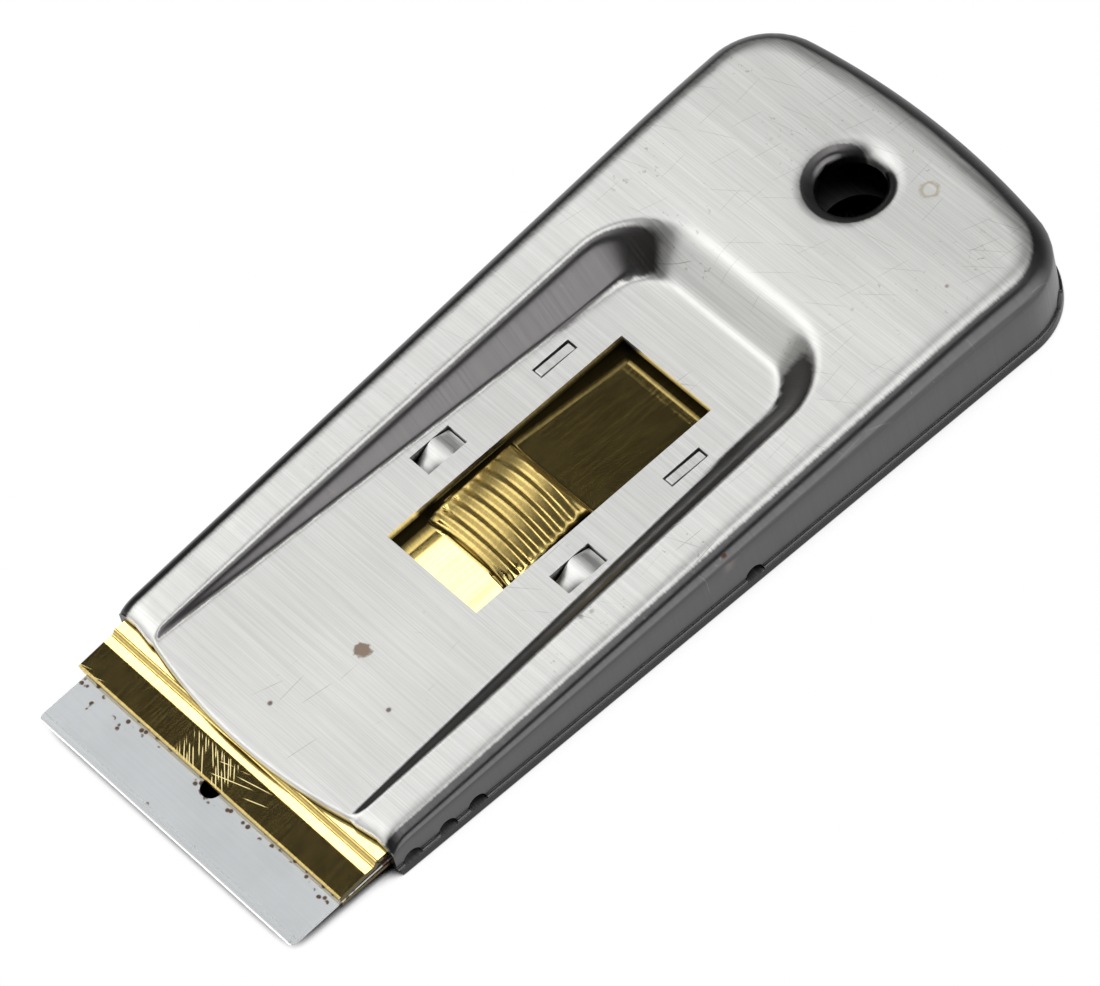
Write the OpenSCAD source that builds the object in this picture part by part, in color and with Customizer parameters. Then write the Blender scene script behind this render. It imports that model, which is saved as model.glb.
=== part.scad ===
// Razor blade scraper: pressed steel shell, flat back plate, sliding brass blade carrier.
// Sizes are in millimetres. The blade points to -Y, the hang hole is at +Y and Z is up.

/* [Handle outline] */
// Shell length, from the front edge of the side walls to the rear wall
shell_len = 91.5; // [88:0.5:100]
// Width that the shell gains from its front edge to its rear corners
rear_grow = 4.8; // [3:0.1:8]
// Plan radius of the two rear corners
corner_r = 8; // [6.5:0.5:11]
// Plan radius of the bowed rear wall
rear_r = 93; // [80:1:140]
// Thickness of the top and the sunk panel
sheet_t = 1.0; // [0.8:0.05:1.2]
// Thickness of the drawn side walls
wall_t = 0.75; // [0.5:0.05:0.8]
// Bow of the panel's front edge ahead of the side walls
front_bow = 1.95; // [1:0.05:2.2]
// Run of the bowed edge past each corner of the panel
bow_past = 0.8; // [0.4:0.1:1.2]

/* [Handle height] */
// Top of the sunk panel above the base
panel_z = 4.4; // [4.3:0.05:5.5]
// Rim height above the panel at the front edge
front_rise = 0.45; // [0.3:0.05:1]
// Rim height above the panel at the hang hole, where it stops rising
rear_rise = 5.0; // [4:0.1:7]
// Radius of the rim's outer edge at the front
edge_r_front = 0.85; // [0.5:0.05:1.5]
// Radius of the rim's outer edge at the rear
edge_r_rear = 3.0; // [2:0.1:4]
// Inner edge radius that is never passed
edge_r_least = 0.2; // [0.1:0.05:0.4]

// Length of the rounded front end of the rims
nose_len = 2.4; // [1:0.1:3.5]
// Drop of the rims over their rounded front end
nose_drop = 0.55; // [0.3:0.05:0.55]

/* [Sunk panel] */
// Width of the rims beside the panel, at the front edge
rim_w = 5.7; // [5:0.05:6.4]
// Panel width just before its rear corners
panel_rear_w = 23; // [22:0.1:26]
// Distance of the panel's rear edge from the rear wall
panel_back = 28.6; // [26:0.1:32]
// Plan radius of the panel's rear corners
panel_r = 4.5; // [3:0.1:6]
// Slope of the wall between panel and rim, in degrees
recess_angle = 49; // [42:1:60]
// Height of the tapered cut that makes the recess
recess_h = 6.5; // [6:0.1:9]
// Width of the eased edge where the recess meets the rim
mouth_ease = 0.9; // [0.5:0.05:1.1]

/* [Window and tongues] */
// Window width
window_w = 13.2; // [12.6:0.1:15]
// Window length
window_len = 31.6; // [31:0.1:34]
// Distance of the window's middle from the rear wall
window_back = 52; // [51:0.1:54]
// Distance of the tongues' inner edge from the middle line
tongue_in_x = 8.88; // [8.8:0.02:9.2]
// Width of the wide slots
wide_w = 2.92; // [2.4:0.02:3.2]
// Length of the wide slots
wide_len = 5.2; // [4.5:0.1:6]
// Distance of the wide slots' rear edge ahead of the window's middle
wide_ahead = 3.0; // [2:0.1:4]
// Drop of the wide tongue at half its length
wide_mid_drop = 0.35; // [0.2:0.05:0.5]
// Drop of the wide tongue at its free end
wide_end_drop = 1.3; // [0.8:0.05:1.35]
// Width of the narrow slots
narrow_w = 1.44; // [1.2:0.02:1.8]
// Length of the narrow slots
narrow_len = 4.9; // [4:0.1:6]
// Distance of the narrow slots' front edge behind the window's middle
narrow_behind = 7.0; // [6:0.1:8]
// Drop of the narrow tongue at its free end
narrow_drop = 0.85; // [0.5:0.05:1.2]
// Gap between a tongue and the sides of its slot
tongue_gap = 0.12; // [0.08:0.01:0.2]
// Gap between a tongue's free end and the slot's end
tongue_end_gap = 0.25; // [0.15:0.05:0.5]
// Length by which a tongue's root runs into the panel
tongue_root = 0.4; // [0.3:0.05:0.6]

/* [Hang hole] */
// Distance of the hang hole's middle from the rear wall
hole_back = 10.2; // [9:0.1:12]
// Radius of the hole in the shell
hole_r = 3.65; // [3:0.05:4]
// Bend radius of the drawn edge round the hole
hole_bend_r = 1.33; // [1.25:0.01:1.6]
// Straight length of the drawn edge below its bend
hole_land = 0.8; // [0.6:0.1:1.2]
// Width of the flat ring by which the drawn edge joins the top
hole_ring = 0.4; // [0.3:0.1:0.6]
// Radius of the hole in the back plate
plate_hole_r = 4.2; // [3.5:0.05:4.4]

/* [Back plate and lower edge] */
// Thickness of the back plate
plate_t = 0.9; // [0.8:0.05:1]
// Width by which the back plate stands out past the side walls
plate_lip = 0.3; // [0.2:0.05:0.5]
// Distance of the back plate's front edge behind the side walls' front edge
plate_front_in = 0.3; // [0.1:0.05:0.6]
// Height of the bead along the lower edge of the walls
bead_h = 0.25; // [0.15:0.05:0.4]
// Width by which the bead stands out from the walls
bead_out = 0.25; // [0.15:0.05:0.35]
// Radius of the arched notches in the lower edge
notch_r = 1.1; // [0.8:0.05:1.3]
// Height of the notch arch's middle above the back plate
notch_rise = 0.2; // [0.1:0.05:0.4]
// Distance of the first side notch behind the side walls' front edge
notch_first = 2; // [1.5:0.1:3]
// Distance of the second side notch behind the side walls' front edge
notch_second = 6.5; // [5.8:0.1:7.2]
// Distance of the third side notch behind the side walls' front edge
notch_third = 10.3; // [9.8:0.1:14]
// Distance of the fourth side notch behind the side walls' front edge
notch_fourth = 46.2; // [30:0.1:70]
// Turn of the corner notch from the rear, in degrees
notch_turn = 52; // [40:1:65]

/* [Brass carrier] */
// Gap between the jaw and each side wall, at the front edge
jaw_gap = 0.2; // [0.15:0.05:0.6]
// Reach of the lip ahead of the side walls' front edge
lip_reach = 6.35; // [5.5:0.05:7]
// Reach of the step's foot ahead of the side walls' front edge
step_reach = 1.7; // [1.4:0.05:2.2]
// Run of the step between groove and ridge
step_run = 0.25; // [0.15:0.05:0.4]
// Rise of the step between groove and ridge
step_h = 0.5; // [0.3:0.05:0.6]
// Length of the flat ridge behind the step
ridge_len = 0.9; // [0.6:0.05:1.2]
// Fall from the ridge to the leaf behind it
ridge_fall = 0.25; // [0.15:0.05:0.35]
// Run of the fall behind the ridge
ridge_fall_run = 0.5; // [0.3:0.05:0.8]
// Fall of the lip from the groove to its front edge
lip_fall = 0.45; // [0.3:0.05:0.5]
// Thickness of the brass sheet
brass_t = 0.6; // [0.5:0.05:0.65]
// Thickness of the jaw's lower leaf
lower_t = 0.38; // [0.3:0.02:0.38]
// Distance of the lower leaf's front edge behind the lip's front edge
lower_in = 0.2; // [0.1:0.05:0.5]
// Distance of the jaw's rear wall behind the side walls' front edge
jaw_back = 7.5; // [7:0.1:9]
// Gap between the carrier and the back plate
foot_gap = 0.12; // [0.08:0.01:0.2]
// Gap between the ridge and the underside of the panel
ridge_gap = 0.15; // [0.1:0.01:0.25]
// Width of the shank between the tongues
shank_w = 17.2; // [16:0.1:17.3]
// Fall of the shank from the button to the tail's bend
shank_fall = 0.5; // [0.2:0.05:0.8]
// Distance of the tail's bend behind the window's middle
tail_bend = 14.1; // [12:0.1:15]
// Run of the sloping tail
tail_run = 3.2; // [2.5:0.1:4.5]
// Length of the tail's flat foot
tail_foot = 1.8; // [1:0.1:3]

/* [Thumb button] */
// Distance of the button's front foot behind the window's front edge
button_in = 4.0; // [3.9:0.05:5]
// Length of the button over its feet
button_len = 12; // [11.5:0.1:12.3]
// Width of the button
button_w = 11.4; // [10:0.1:12]
// Run of the button's sloped front face
button_front_run = 0.8; // [0.5:0.05:1.2]
// Run of the button's sloped rear face
button_rear_run = 0.6; // [0.4:0.05:1]
// Radius of the button's crown across its width
crown_r = 12; // [10:0.5:16]
// Height of the rib tops above the panel, at the middle of the button
crown_up = 1.05; // [0.6:0.05:1.5]
// Rise of the crown towards the rear, in degrees
crown_tilt = 5; // [2:0.5:7]
// Number of ribs
rib_count = 7; // [5:1:7]
// Spacing of the ribs
rib_pitch = 1.45; // [1.3:0.05:1.5]
// Radius of a rib
rib_r = 0.55; // [0.45:0.05:0.65]
// Depth of the valleys below the rib tops
rib_depth = 0.45; // [0.3:0.05:0.5]
// Distance of the middle rib ahead of the button's middle
rib_ahead = 0.0; // [-0.2:0.05:0.2]

/* [Blade] */
// Blade width
blade_w = 38.1; // [38:0.1:38.2]
// Blade height from cutting edge to back
blade_h = 19.05; // [18:0.05:19.2]
// Blade thickness
blade_t = 0.25; // [0.2:0.01:0.25]
// Length of the ground bevel
bevel_len = 0.9; // [0.5:0.05:1.5]
// Thickness of the cutting edge
edge_t = 0.04; // [0.02:0.01:0.06]
// Reach of the cutting edge ahead of the lip's front edge
blade_reach = 6.4; // [5.5:0.05:7.2]
// Play of the blade in the jaw, to each side
blade_play = 0.5; // [0.4:0.05:0.7]
// Sideways place of the blade in the jaw
blade_shift = 0.45; // [-0.45:0.05:0.45]
// Fall of the blade towards its edge, in degrees
blade_tilt = 2.1; // [1.9:0.05:2.2]
// Gap between the blade and the lip
blade_gap = 0.03; // [0.02:0.01:0.04]
// Radius of the blade's front corners
blade_corner_r = 0.6; // [0.3:0.1:1]
// Radius of the blade's middle hole
blade_hole_r = 1.2; // [0.9:0.1:1.8]
// Distance of the blade's middle hole behind its edge
blade_hole_in = 6.4; // [6:0.1:7.2]
// Thickness of the folded spine over the blade's back
spine_t = 0.7; // [0.6:0.05:0.72]
// Depth of the spine over the blade
spine_h = 4.8; // [4:0.1:5.5]
// Length by which the spine passes the blade's back
spine_back = 0.25; // [0.2:0.05:0.35]
// Gap between spine and blade
spine_gap = 0.02; // [0.01:0.01:0.03]

/* [Hidden] */
$fn = 48;
// Thickness of the slices that a rounded form is stretched over
slice = 0.02;
// Length by which a cut passes the face it opens
over = 1;
// Steps of the plan's outline, in degrees round a corner and parts of the rear wall
corner_step = 3;
rear_steps = 12;
// Part of the rim's height that the eased edge of the recess may take
mouth_share = 0.8;
// Part of the wide tongue's length that drops gently
wide_gentle_share = 0.55;

// Widths, from the blade outwards
jaw_w = blade_w + 2 * blade_play;
front_w = jaw_w + 2 * (jaw_gap + wall_t);
rear_w = front_w + rear_grow;
panel_front_w = front_w - 2 * rim_w;
bow_half_w = panel_front_w / 2 + bow_past;

// Side line of the plan and the bow of the rear wall, which runs into the rear corners
side_slope = (rear_w - front_w) / 2 / (shell_len - corner_r);
side_angle = atan(side_slope);
corner_x = rear_w / 2 - corner_r / cos(side_angle);
rear_turn = asin(corner_x / (rear_r - corner_r));
rear_bow = (rear_r - corner_r) * (1 - cos(rear_turn));

// Places along Y, with the whole part centred on the origin
overall_len = plate_lip + rear_bow + shell_len + lip_reach + blade_reach;
rear_y = overall_len / 2 - plate_lip - rear_bow;
front_y = rear_y - shell_len;
corner_y = rear_y - corner_r;
rear_mid_y = rear_y + rear_bow - rear_r;
form_front_y = front_y - front_bow - over;
window_y = rear_y - window_back;
hole_y = rear_y - hole_back;
apex_y = hole_y - hole_r - hole_bend_r;
panel_rear_y = rear_y - panel_back;
lip_y = front_y - lip_reach;
edge_y = lip_y - blade_reach;

// Slope of the rim and the radii of the front edge
rise_slope = (rear_rise - front_rise) / (apex_y - front_y);
bow_r = (bow_half_w * bow_half_w + front_bow * front_bow) / (2 * front_bow);
nose_r = (nose_len * nose_len + nose_drop * nose_drop) / (2 * nose_drop);
recess_run = recess_h / tan(recess_angle);
skin_out = sheet_t * tan(recess_angle / 2);

// Heights
panel_under_z = panel_z - sheet_t;
ridge_z = panel_under_z - ridge_gap;
leaf_z = ridge_z - ridge_fall;
groove_z = ridge_z - step_h;
lip_z = groove_z - lip_fall;
foot_z = plate_t + foot_gap;
blade_mid_z = lip_z - brass_t - blade_gap - blade_t / 2;
edge_z = blade_mid_z - blade_reach * tan(blade_tilt);

// Places of the carrier's features
step_y = front_y - step_reach;
jaw_rear_y = front_y + jaw_back;
bend_y = window_y + tail_bend;
button_front_y = window_y - window_len / 2 + button_in;
button_rear_y = button_front_y + button_len;
button_mid_y = (button_front_y + button_rear_y) / 2;
crown_z = panel_z + crown_up;

function side_x(y) = front_w / 2 + side_slope * (y - front_y);
function rim_z(y) = panel_z + rear_rise + rise_slope * (min(y, apex_y) - apex_y);
function edge_r(y) = edge_r_front + (edge_r_rear - edge_r_front) * (y - front_y) / (corner_y - front_y);
function ease(y) = min(mouth_ease, mouth_share * (rim_z(y) - panel_z) / sin(recess_angle));
function panel_x(y) = panel_rear_w / 2
    + (panel_front_w - panel_rear_w) / 2 * (panel_rear_y - panel_r - y) / (panel_rear_y - panel_r - front_y);

// Turns a profile drawn in Y and Z into a bar along X, centred on the middle line
module bar_x(width) {
    translate([-width / 2, 0, 0])
        rotate([90, 0, 90])
            linear_extrude(height = width)
                children();
}

// Points along the bowed rear wall, grown by a width, from right to left
function rear_line(grow) = [for (k = [-rear_steps : 2 : rear_steps])
    [-(rear_r + grow) * sin(rear_turn * k / rear_steps),
        rear_mid_y + (rear_r + grow) * cos(rear_turn * k / rear_steps)]];

// Plan of the handle, grown by a width all round, from a front edge to the rear
module plan(grow, y_from) {
    r = corner_r + grow;
    x_from = side_x(y_from) + grow / cos(side_angle);
    corner = [for (a = [-side_angle : corner_step : 90 - rear_turn - corner_step / 2])
        [corner_x + r * cos(a), corner_y + r * sin(a)]];
    last = len(corner) - 1;
    left = [for (k = [0 : last]) [-corner[last - k][0], corner[last - k][1]]];
    polygon(concat([[-x_from, y_from], [x_from, y_from]], corner, rear_line(grow), left));
}

// Convex body of the shell, drawn in by a side and a top thickness
module body_form(side_in, top_in, low_z) {
    turn_r = max(edge_r_rear - top_in, edge_r_least);
    turn_z = rim_z(apex_y) - top_in - turn_r;
    hull() {
        for (y = [form_front_y, apex_y, corner_y], sx = [-1, 1]) {
            r = max(edge_r(y) - top_in, edge_r_least);
            translate([sx * (side_x(y) - side_in - r), y, rim_z(y) - top_in - r])
                rotate([90, 0, 0])
                    cylinder(r = r, h = slice, center = true, $fn = 24);
        }
        for (sx = [-1, 1]) {
            translate([sx * (side_x(form_front_y) - side_in - slice / 2), form_front_y, low_z + slice / 2])
                cube([slice, slice, slice], center = true);
            translate([sx * corner_x, corner_y, turn_z])
                rotate_extrude($fn = 48)
                    translate([corner_r - side_in - turn_r, 0])
                        circle(r = turn_r, $fn = 24);
            translate([sx * corner_x, corner_y, low_z])
                cylinder(r = corner_r - side_in, h = slice, $fn = 48);
        }
        translate([0, rear_mid_y, turn_z])
            rotate([0, 0, 90 - rear_turn])
                rotate_extrude(angle = 2 * rear_turn, $fn = 180)
                    translate([rear_r - side_in - turn_r, 0])
                        circle(r = turn_r, $fn = 24);
        translate([0, 0, low_z])
            linear_extrude(height = slice)
                polygon(rear_line(-side_in));
    }
}

// Tapered form of the recess over the panel
module recess_form(out, floor_z) {
    hull()
        for (y = [form_front_y, panel_rear_y - panel_r], sx = [-1, 1])
            translate([sx * (panel_x(y) - panel_r), y, floor_z])
                cylinder(r1 = panel_r + out, r2 = panel_r + out + recess_run, h = recess_h, $fn = 48);
}

// Eased edge of the recess: half its slope, following the rise of the rim
module mouth_form() {
    y_rear = panel_rear_y - panel_r;
    ease_y = min(y_rear, apex_y - (rear_rise - mouth_ease * sin(recess_angle) / mouth_share) / rise_slope);
    z_rear = rim_z(panel_rear_y);
    e_rear = ease(panel_rear_y);
    r_rear = panel_r + (z_rear - panel_z) / tan(recess_angle) + e_rear;
    half_run = e_rear * (1 + cos(recess_angle));
    hull() {
        for (y = [form_front_y, ease_y, y_rear], sx = [-1, 1], up = [-1, 1]) {
            e = ease(y);
            x = panel_x(y) + (rim_z(y) - panel_z) / tan(recess_angle) + e;
            translate([sx * (x + up * e * (1 + cos(recess_angle))), y, rim_z(y) + up * e * sin(recess_angle)])
                cube([slice, slice, slice], center = true);
        }
        for (sx = [-1, 1])
            translate([sx * (panel_x(y_rear) - panel_r), y_rear, z_rear - e_rear * sin(recess_angle)])
                cylinder(r1 = r_rear - half_run, r2 = r_rear + half_run,
                    h = 2 * e_rear * sin(recess_angle), $fn = 48);
    }
}

// Space behind the shell's front edge: straight at the sides, bowed across the panel
module front_keep() {
    translate([0, front_y - front_bow + bow_r, 0])
        cylinder(r = bow_r, h = panel_z + rear_rise + over, $fn = 180);
    translate([-rear_w, front_y, 0])
        cube([2 * rear_w, shell_len + rear_bow + over, panel_z + rear_rise + over]);
}

// Space over the rounded front ends of the rims, above the panel
module nose_cut() {
    z_top = rim_z(front_y + nose_len);
    difference() {
        translate([-rear_w, front_y - front_bow - over, panel_z])
            cube([2 * rear_w, front_bow + over + nose_len, rear_rise]);
        translate([0, front_y + nose_len, z_top - nose_r])
            rotate([0, 90, 0])
                cylinder(r = nose_r, h = 2 * rear_w + over, center = true, $fn = 180);
    }
}

// Drawn edge of the hang hole: a quarter bend from the top and a short straight land
module hole_collar() {
    bend_r = hole_r + hole_bend_r;
    translate([0, hole_y, rim_z(hole_y) - hole_bend_r])
        rotate_extrude($fn = 96) {
            intersection() {
                difference() {
                    translate([bend_r, 0])
                        circle(r = hole_bend_r);
                    translate([bend_r, 0])
                        circle(r = hole_bend_r - sheet_t);
                }
                translate([hole_r, 0])
                    square([hole_bend_r, hole_bend_r]);
            }
            translate([hole_r, -hole_land])
                square([sheet_t, hole_land]);
            translate([bend_r, hole_bend_r - sheet_t])
                square([hole_ring, sheet_t]);
        }
}

// Wide tongue: rooted at the rear of its slot, bent down towards the front
module wide_tongue() {
    y = window_y - wide_ahead;
    y_mid = y - wide_len * wide_gentle_share;
    y_end = y - wide_len + tongue_end_gap;
    z_mid = panel_z - wide_mid_drop;
    z_end = panel_z - wide_end_drop;
    bar_x(wide_w - 2 * tongue_gap)
        polygon([[y + tongue_root, panel_z], [y, panel_z], [y_mid, z_mid], [y_end, z_end],
            [y_end, z_end - sheet_t], [y_mid, z_mid - sheet_t], [y, panel_under_z],
            [y + tongue_root, panel_under_z]]);
}

// Narrow tongue: rooted at the front of its slot, bent down towards the rear
module narrow_tongue() {
    y = window_y + narrow_behind;
    y_end = y + narrow_len - tongue_end_gap;
    z_end = panel_z - narrow_drop;
    bar_x(narrow_w - 2 * tongue_gap)
        polygon([[y - tongue_root, panel_under_z], [y, panel_under_z], [y_end, z_end - sheet_t],
            [y_end, z_end], [y, panel_z], [y - tongue_root, panel_z]]);
}

// Slots of the tongues on one side
module slots() {
    translate([tongue_in_x, window_y - wide_ahead - wide_len, panel_under_z - over])
        cube([wide_w, wide_len, sheet_t + 2 * over]);
    translate([tongue_in_x, window_y + narrow_behind, panel_under_z - over])
        cube([narrow_w, narrow_len, sheet_t + 2 * over]);
}

// Arched relief notches in the lower edge of the walls on one side
module notches() {
    for (d = [notch_first, notch_second, notch_third, notch_fourth])
        translate([side_x(front_y + d) - wall_t - over, front_y + d, plate_t + notch_rise])
            rotate([0, 90, 0])
                cylinder(r = notch_r, h = wall_t + 2 * over);
    translate([corner_x, corner_y, plate_t + notch_rise])
        rotate([0, 90, 90 - notch_turn])
            translate([0, 0, corner_r - wall_t - over])
                cylinder(r = notch_r, h = wall_t + 2 * over);
}

// Pressed sheet without its tongues and the drawn hole edge
module shell_sheet() {
    difference() {
        union() {
            intersection() {
                body_form(0, 0, plate_t);
                front_keep();
            }
            translate([0, 0, plate_t])
                linear_extrude(height = bead_h)
                    difference() {
                        plan(bead_out, front_y);
                        plan(-wall_t, front_y - over);
                    }
        }
        difference() {
            body_form(wall_t, sheet_t, plate_t - over);
            recess_form(skin_out, panel_under_z);
        }
        recess_form(0, panel_z);
        mouth_form();
        nose_cut();
        translate([-window_w / 2, window_y - window_len / 2, panel_under_z - over])
            cube([window_w, window_len, sheet_t + 2 * over]);
        for (m = [0, 1])
            mirror([m, 0, 0]) {
                slots();
                notches();
            }
        translate([0, hole_y, panel_z])
            cylinder(r = hole_r + hole_bend_r, h = rear_rise + over, $fn = 96);
    }
}

// Pressed steel shell
module shell() {
    color([0.78, 0.78, 0.77]) {
        shell_sheet();
        hole_collar();
        for (sx = [-1, 1]) {
            translate([sx * (tongue_in_x + wide_w / 2), 0, 0])
                wide_tongue();
            translate([sx * (tongue_in_x + narrow_w / 2), 0, 0])
                narrow_tongue();
        }
    }
}

// Flat back plate under the shell
module back_plate() {
    color([0.55, 0.56, 0.57])
        difference() {
            linear_extrude(height = plate_t)
                plan(plate_lip, front_y + plate_front_in);
            translate([0, hole_y, -over])
                cylinder(r = plate_hole_r, h = plate_t + 2 * over, $fn = 96);
        }
}

// Folded jaw that holds the blade: sloping lip, step, ridge, rear wall and lower leaf
module jaw() {
    y_ridge = step_y + step_run;
    y_fall = y_ridge + ridge_len;
    y_leaf = y_fall + ridge_fall_run;
    y_low = lip_y + lower_in;
    y_in = jaw_rear_y - brass_t;
    low_z = foot_z + lower_t;
    bar_x(jaw_w)
        polygon([[y_low, foot_z], [jaw_rear_y, foot_z], [jaw_rear_y, leaf_z], [y_leaf, leaf_z],
            [y_fall, ridge_z], [y_ridge, ridge_z], [step_y, groove_z], [lip_y, lip_z],
            [lip_y, lip_z - brass_t], [step_y, groove_z - brass_t], [y_ridge, leaf_z - brass_t],
            [y_in, leaf_z - brass_t], [y_in, low_z], [y_low, low_z]]);
}

// Shank, falling behind the button, with its tail bent down to the back plate
module shank() {
    y_foot = bend_y + tail_run;
    y_end = y_foot + tail_foot;
    bend_z = leaf_z - shank_fall;
    bar_x(shank_w)
        polygon([[jaw_rear_y - brass_t, leaf_z - brass_t], [button_rear_y, leaf_z - brass_t],
            [bend_y, bend_z - brass_t], [y_foot, foot_z], [y_end, foot_z], [y_end, foot_z + brass_t],
            [y_foot, foot_z + brass_t], [bend_y, bend_z], [button_rear_y, leaf_z],
            [jaw_rear_y - brass_t, leaf_z]]);
}

// Outline of the button seen from the side, with sloped front and rear faces
module button_block(top_z) {
    bar_x(button_w)
        polygon([[button_front_y, leaf_z - brass_t / 2], [button_front_y, leaf_z],
            [button_front_y + button_front_run, top_z], [button_rear_y - button_rear_run, top_z],
            [button_rear_y, leaf_z], [button_rear_y, leaf_z - brass_t / 2]]);
}

// Crowned button with ribs across it
module button() {
    intersection() {
        button_block(crown_z + over);
        translate([0, button_mid_y - rib_ahead, crown_z])
            rotate([crown_tilt, 0, 0])
                translate([0, 0, -crown_r]) {
                    rotate([90, 0, 0])
                        cylinder(r = crown_r - rib_depth, h = 2 * button_len, center = true, $fn = 120);
                    for (k = [0 : rib_count - 1])
                        translate([0, (k - (rib_count - 1) / 2) * rib_pitch, 0])
                            rotate([90, 0, 0])
                                rotate_extrude($fn = 120)
                                    translate([crown_r - rib_r, 0])
                                        circle(r = rib_r, $fn = 32);
                }
    }
}

// Brass blade carrier
module carrier() {
    color([0.80, 0.66, 0.25]) {
        jaw();
        shank();
        button();
    }
}

// Places a piece that is drawn from the cutting edge backwards
module at_edge() {
    translate([blade_shift, edge_y, edge_z])
        rotate([blade_tilt, 0, 0])
            children();
}

// Single-edge blade with ground bevels
module blade() {
    color([0.74, 0.76, 0.78])
        at_edge()
            difference() {
                bar_x(blade_w)
                    polygon([[0, -edge_t / 2], [bevel_len, -blade_t / 2], [blade_h, -blade_t / 2],
                        [blade_h, blade_t / 2], [bevel_len, blade_t / 2], [0, edge_t / 2]]);
                for (sx = [-1, 1])
                    translate([sx * (blade_w / 2 - blade_corner_r), blade_corner_r, -over])
                        difference() {
                            translate([sx > 0 ? 0 : -blade_corner_r - over, -blade_corner_r - over, 0])
                                cube([blade_corner_r + over, blade_corner_r + over, 2 * over]);
                            translate([0, 0, -over])
                                cylinder(r = blade_corner_r, h = 4 * over);
                        }
                translate([0, blade_hole_in, -over])
                    cylinder(r = blade_hole_r, h = 2 * over);
            }
}

// Folded steel spine over the blade's back
module blade_spine() {
    y_from = blade_h - spine_h;
    y_to = blade_h + spine_back;
    slot_z = blade_t / 2 + spine_gap;
    color([0.66, 0.67, 0.69])
        at_edge()
            bar_x(blade_w)
                polygon([[y_from, slot_z], [y_from, spine_t / 2], [y_to, spine_t / 2], [y_to, -spine_t / 2],
                    [y_from, -spine_t / 2], [y_from, -slot_z], [blade_h + spine_gap, -slot_z],
                    [blade_h + spine_gap, slot_z]]);
}

shell();
back_plate();
carrier();
blade();
blade_spine();
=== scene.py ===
"""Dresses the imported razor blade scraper: drawn steel shell, bright brass slide and worn steel finishes."""

import functools
import math

import bpy
import numpy as np
from mathutils import Matrix, Vector


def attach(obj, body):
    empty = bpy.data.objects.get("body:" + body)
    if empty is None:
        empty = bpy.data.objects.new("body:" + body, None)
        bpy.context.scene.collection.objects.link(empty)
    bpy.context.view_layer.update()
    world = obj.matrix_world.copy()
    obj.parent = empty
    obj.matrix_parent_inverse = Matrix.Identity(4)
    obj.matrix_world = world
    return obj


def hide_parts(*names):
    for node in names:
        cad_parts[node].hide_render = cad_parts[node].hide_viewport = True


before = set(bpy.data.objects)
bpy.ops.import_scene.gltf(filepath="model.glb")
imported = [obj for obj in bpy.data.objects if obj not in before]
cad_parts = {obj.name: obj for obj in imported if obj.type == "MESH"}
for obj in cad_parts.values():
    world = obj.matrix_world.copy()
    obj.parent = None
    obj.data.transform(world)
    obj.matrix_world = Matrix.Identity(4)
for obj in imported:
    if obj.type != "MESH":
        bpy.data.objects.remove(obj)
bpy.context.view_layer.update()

bl_info = {
    "name": "Razor blade scraper",
    "version": (1, 0, 0),
    "blender": (4, 5, 0),
    "location": "View3D > Sidebar > Scraper",
    "description": "Builds the scraper's drawn shell and brass slide round its packed solids",
    "category": "Object",
}

# Sizes of the solids, in millimetres, that the dressed pieces follow
MM = 0.001
REAR_Y, FRONT_HALF, REAR_HALF, CORNER_R, REAR_R = 51.317, 20.5, 22.9, 8.0, 93.0
FRONT_Y, CORNER_Y = REAR_Y - 91.5, REAR_Y - CORNER_R
PANEL_Z, FRONT_RISE, REAR_RISE = 4.4, 0.45, 5.0
PANEL_FRONT_HALF, PANEL_REAR_HALF, PANEL_REAR_Y, PANEL_R = 14.8, 11.5, REAR_Y - 28.6, 4.5
RECESS_ANGLE = math.radians(49)
WINDOW_Y, WINDOW_HALF_X, WINDOW_HALF_Y = REAR_Y - 52.0, 6.6, 15.8
TONGUE_X, WIDE_W, NARROW_W = 8.88, 2.92, 1.44
WIDE_FRONT, WIDE_REAR, NARROW_FRONT, NARROW_REAR = (WINDOW_Y + d for d in (-8.2, -3.0, 7.0, 11.9))
HOLE_Y, HOLE_R, HOLE_BEND, HOLE_LAND = REAR_Y - 10.2, 3.65, 1.33, 0.8
APEX_Y = HOLE_Y - HOLE_R - HOLE_BEND
PLATE_T, BEAD_H, BEAD_OUT = 0.9, 0.25, 0.25
NOTCHES, CORNER_NOTCH = tuple(FRONT_Y + d for d in (2, 6.5, 10.3, 46.2)), math.radians(38)
NOTCH_R, NOTCH_RISE = 1.1, 0.2
LIP_Y, STEP_Y, JAW_REAR_Y = FRONT_Y - 6.35, FRONT_Y - 1.7, FRONT_Y + 7.5
JAW_HALF, SHANK_HALF = 19.55, 8.6
EDGE_Y = LIP_Y - 6.4
LIP_Z, GROOVE_Z, RIDGE_Z, LEAF_Z, FOOT_Z = 2.42, 2.75, 3.25, 3.0, 1.02
BUTTON_FRONT, BUTTON_REAR, BEND_Y, TAIL_Y = (WINDOW_Y + d for d in (-11.8, 0.2, 14.1, 19.1))
BUTTON_Y, BUTTON_HALF = WINDOW_Y - 5.7, 6.15
SLOPE = (REAR_HALF - FRONT_HALF) / (CORNER_Y - FRONT_Y)
SIDE_ANGLE = math.atan(SLOPE)
CORNER_X = REAR_HALF - CORNER_R / math.cos(SIDE_ANGLE)
REAR_TURN = math.asin(CORNER_X / (REAR_R - CORNER_R))
REAR_MID_Y = CORNER_Y - (REAR_R - CORNER_R) * math.cos(REAR_TURN)

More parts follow.
